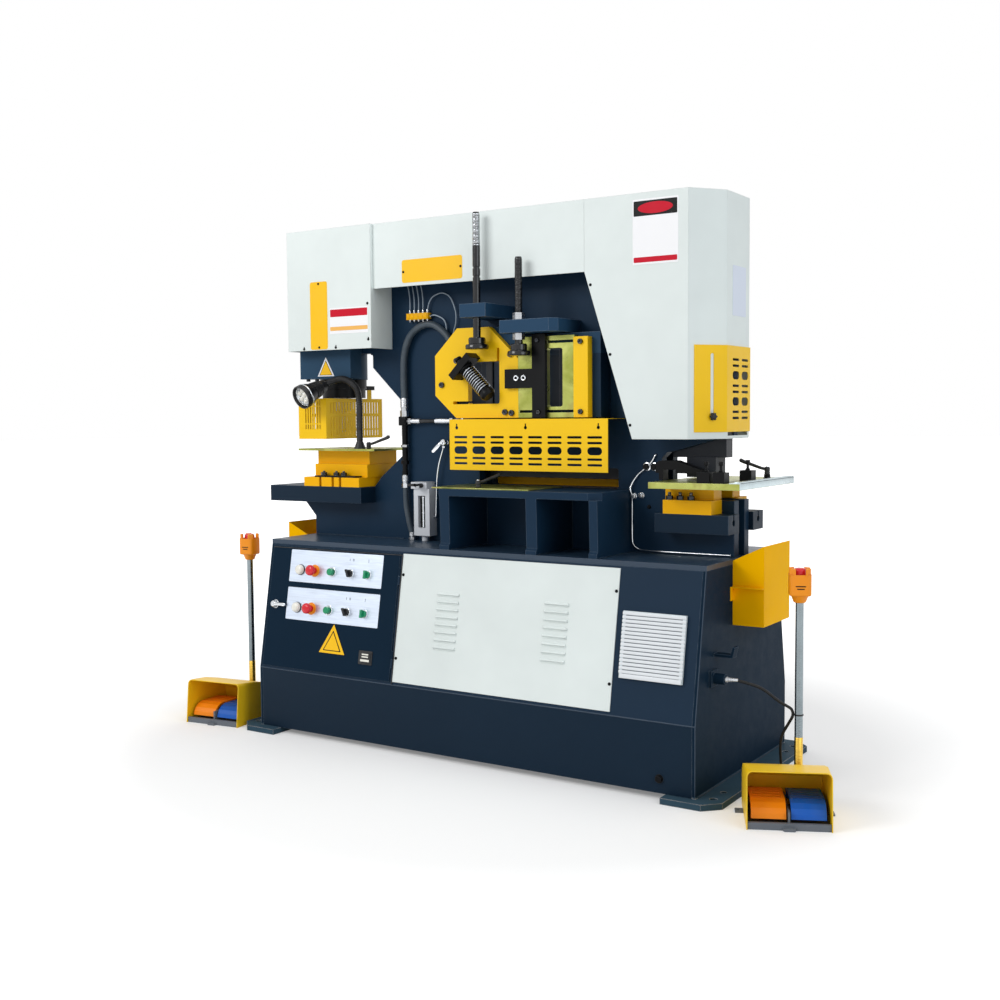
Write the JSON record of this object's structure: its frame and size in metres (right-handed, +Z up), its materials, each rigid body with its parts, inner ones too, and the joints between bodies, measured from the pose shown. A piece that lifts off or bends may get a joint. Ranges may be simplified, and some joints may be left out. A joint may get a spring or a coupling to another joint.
{
  "type": "hydraulic ironworker",
  "caption": "Hydraulic ironworker with a punch, plate, bar and angle shears and a notcher on a navy base, with yellow guards, cream covers and foot switches.",
  "frame": {"origin": "centre of the four anchor holes, on the floor", "axes": "+X along the machine to the notcher, -Y to the operator, +Z up"},
  "size_m": [2.6156, 0.9434, 1.905],
  "materials": {
    "navy_paint": "satin machine enamel",
    "cream_paint": "satin machine enamel",
    "yellow_paint": "satin guard enamel",
    "die_paint": "gloss enamel",
    "zinc_plate": "yellow passivated zinc",
    "bright_steel": "ground steel",
    "blade_steel": "ground blade steel",
    "black_steel": "black oxide",
    "motor_paint": "painted casting",
    "electric_board": "zinc plate with plastic modules",
    "black_rubber": "matt hose rubber",
    "black_plastic": "satin",
    "grey_plastic": "satin",
    "red_plastic": "gloss",
    "green_plastic": "gloss",
    "orange_plastic": "satin",
    "blue_plastic": "satin",
    "cable_jacket": "satin"
  },
  "bodies": {
    "machine": {"end_frames": "navy_paint", "oil_tank": "navy_paint", "base_top": "navy_paint", "front_frame": "navy_paint", "rear_sheet": "navy_paint", "front_panels": "cream_paint", "motor_pump": "motor_paint", "electric_plate": "electric_board", "frame_plate_front": "navy_paint", "frame_plate_back": "navy_paint", "frame_brackets": "navy_paint", "punch_head": "navy_paint", "bolsters": "navy_paint", "die_holders": "die_paint", "work_tables": "zinc_plate", "fixed_blades": "blade_steel", "tool_guards": "yellow_paint", "shear_guides": "yellow_paint", "bar_shear_plate": "zinc_plate", "clamp_bars": "black_steel", "slide_cylinder": "navy_paint", "left_cover": "cream_paint", "upper_cover": "cream_paint", "right_cover": "cream_paint", "work_lamp": "black_plastic", "fluid_lines": "black_rubber", "lube_pump": "motor_paint", "scrap_bins": "yellow_paint", "pedal_bases": "grey_plastic", "pedal_guards": "yellow_paint", "stanchions": "bright_steel", "switch_cable": "cable_jacket", "fasteners": "bright_steel"},
    "punch_ram_body": {"punch_ram": "bright_steel"},
    "tool_slide_body": {"tool_slide": "blade_steel"},
    "door_body": {"door": "navy_paint"},
    "door_latch_body": {"door_latch": "bright_steel"},
    "panel_stop_upper_body": {"panel_stop_upper": "red_plastic"},
    "panel_stop_lower_body": {"panel_stop_lower": "red_plastic"},
    "start_button_upper_body": {"start_button_upper": "green_plastic"},
    "start_button_lower_body": {"start_button_lower": "green_plastic"},
    "black_selector_upper_body": {"black_selector_upper": "black_plastic"},
    "black_selector_lower_body": {"black_selector_lower": "black_plastic"},
    "green_selector_upper_body": {"green_selector_upper": "green_plastic"},
    "green_selector_lower_body": {"green_selector_lower": "green_plastic"},
    "right_pedal_orange_body": {"right_pedal_orange": "orange_plastic"},
    "right_pedal_blue_body": {"right_pedal_blue": "blue_plastic"},
    "left_pedal_orange_body": {"left_pedal_orange": "orange_plastic"},
    "left_pedal_blue_body": {"left_pedal_blue": "blue_plastic"},
    "right_stop_button_body": {"right_stop_button": "red_plastic"},
    "left_stop_button_body": {"left_stop_button": "red_plastic"},
    "punch_clamp_lever_body": {"punch_clamp_lever": "black_plastic"},
    "shear_clamp_lever_body": {"shear_clamp_lever": "black_plastic"},
    "notch_clamp_lever_body": {"notch_clamp_lever": "black_plastic"},
    "left_spindle_body": {"left_spindle": "bright_steel"},
    "right_spindle_body": {"right_spindle": "bright_steel"},
    "angle_plunger_body": {"angle_plunger": "bright_steel"},
    "notch_guard_body": {"notch_guard": "yellow_paint"},
    "guard_knob_body": {"guard_knob": "black_plastic"},
    "pump_lever_body": {"pump_lever": "black_plastic"}
  },
  "joints": [
    {"name": "punch_stroke", "type": "slide", "parent": "machine", "child": "punch_ram_body", "axis": [0, 0, -1], "range_m": [0, 0.075]},
    {"name": "slide_stroke", "type": "slide", "parent": "machine", "child": "tool_slide_body", "axis": [0, 0, -1], "range_m": [0, 0.03]},
    {"name": "door_swing", "type": "hinge", "parent": "machine", "child": "door_body", "pos_m": [-0.271, -0.39293, 0.24285], "axis": [0, 0.1702, 0.9854], "range_deg": [0, 110]},
    {"name": "latch_turn", "type": "hinge", "parent": "door_body", "child": "door_latch_body", "pos_m": [-0.85, -0.3601, 0.48581], "axis": [0, -0.9854, 0.1702], "range_deg": [0, 90]},
    {"name": "panel_stop_upper_press", "type": "slide", "parent": "door_body", "child": "panel_stop_upper_body", "axis": [0, 0.9854, -0.1702], "range_m": [0, 0.004], "stiffness_N_per_m": 3000, "springref_m": -0.001},
    {"name": "start_upper_press", "type": "slide", "parent": "door_body", "child": "start_button_upper_body", "axis": [0, 0.9854, -0.1702], "range_m": [0, 0.004], "stiffness_N_per_m": 2000, "springref_m": -0.001},
    {"name": "black_selector_upper_turn", "type": "hinge", "parent": "door_body", "child": "black_selector_upper_body", "pos_m": [-0.497, -0.33284, 0.62013], "axis": [0, -0.9854, 0.1702], "range_deg": [-45, 45]},
    {"name": "green_selector_upper_turn", "type": "hinge", "parent": "door_body", "child": "green_selector_upper_body", "pos_m": [-0.415, -0.33284, 0.62013], "axis": [0, -0.9854, 0.1702], "range_deg": [-45, 45]},
    {"name": "panel_stop_lower_press", "type": "slide", "parent": "door_body", "child": "panel_stop_lower_body", "axis": [0, 0.9854, -0.1702], "range_m": [0, 0.004], "stiffness_N_per_m": 3000, "springref_m": -0.001},
    {"name": "start_lower_press", "type": "slide", "parent": "door_body", "child": "start_button_lower_body", "axis": [0, 0.9854, -0.1702], "range_m": [0, 0.004], "stiffness_N_per_m": 2000, "springref_m": -0.001},
    {"name": "black_selector_lower_turn", "type": "hinge", "parent": "door_body", "child": "black_selector_lower_body", "pos_m": [-0.497, -0.35701, 0.4802], "axis": [0, -0.9854, 0.1702], "range_deg": [-45, 45]},
    {"name": "green_selector_lower_turn", "type": "hinge", "parent": "door_body", "child": "green_selector_lower_body", "pos_m": [-0.415, -0.35701, 0.4802], "axis": [0, -0.9854, 0.1702], "range_deg": [-45, 45]},
    {"name": "right_orange_press", "type": "hinge", "parent": "machine", "child": "right_pedal_orange_body", "pos_m": [1.1379, -0.27725, 0.042], "axis": [0.9063, 0.4226, 0], "range_deg": [0, 4], "stiffness_Nm_per_rad": 25, "springref_deg": -3.44},
    {"name": "right_blue_press", "type": "hinge", "parent": "machine", "child": "right_pedal_blue_body", "pos_m": [1.1379, -0.27725, 0.042], "axis": [0.9063, 0.4226, 0], "range_deg": [0, 4], "stiffness_Nm_per_rad": 25, "springref_deg": -3.44},
    {"name": "right_stop_press", "type": "slide", "parent": "machine", "child": "right_stop_button_body", "axis": [0, 0, -1], "range_m": [0, 0.004], "stiffness_N_per_m": 3000, "springref_m": -0.001},
    {"name": "left_orange_press", "type": "hinge", "parent": "machine", "child": "left_pedal_orange_body", "pos_m": [-1.13943, -0.24261, 0.042], "axis": [0.9903, 0.1392, 0], "range_deg": [0, 4], "stiffness_Nm_per_rad": 25, "springref_deg": -3.44},
    {"name": "left_blue_press", "type": "hinge", "parent": "machine", "child": "left_pedal_blue_body", "pos_m": [-1.13943, -0.24261, 0.042], "axis": [0.9903, 0.1392, 0], "range_deg": [0, 4], "stiffness_Nm_per_rad": 25, "springref_deg": -3.44},
    {"name": "left_stop_press", "type": "slide", "parent": "machine", "child": "left_stop_button_body", "axis": [0, 0, -1], "range_m": [0, 0.004], "stiffness_N_per_m": 3000, "springref_m": -0.001},
    {"name": "punch_lever_turn", "type": "hinge", "parent": "machine", "child": "punch_clamp_lever_body", "pos_m": [-0.571, -0.118, 1.08], "axis": [0, 0, 1], "range_deg": [-60, 40]},
    {"name": "shear_lever_turn", "type": "hinge", "parent": "machine", "child": "shear_clamp_lever_body", "pos_m": [0.02, -0.25, 0.95], "axis": [0, 0, 1], "range_deg": [-60, 60]},
    {"name": "notch_lever_turn", "type": "hinge", "parent": "machine", "child": "notch_clamp_lever_body", "pos_m": [0.93, 0.12, 1], "axis": [0, 0, 1], "range_deg": [-60, 60]},
    {"name": "left_spindle_travel", "type": "slide", "parent": "machine", "child": "left_spindle_body", "axis": [0, 0, 1], "range_m": [0, 0.06]},
    {"name": "right_spindle_travel", "type": "slide", "parent": "machine", "child": "right_spindle_body", "axis": [0, 0, 1], "range_m": [-0.03, 0.008]},
    {"name": "angle_plunger_travel", "type": "slide", "parent": "machine", "child": "angle_plunger_body", "axis": [0.7071, 0, -0.7071], "range_m": [0, 0.017]},
    {"name": "notch_guard_slide", "type": "slide", "parent": "machine", "child": "notch_guard_body", "axis": [0, 0, 1], "range_m": [-0.085, 0]},
    {"name": "guard_knob_turn", "type": "hinge", "parent": "machine", "child": "guard_knob_body", "pos_m": [0.82808, -0.10494, 1.184], "axis": [0.8025, -0.5966, 0], "continuous": true},
    {"name": "pump_lever_stroke", "type": "hinge", "parent": "machine", "child": "pump_lever_body", "pos_m": [-0.331, -0.124, 0.936], "axis": [1, 0, 0], "range_deg": [0, 40]}
  ]
}
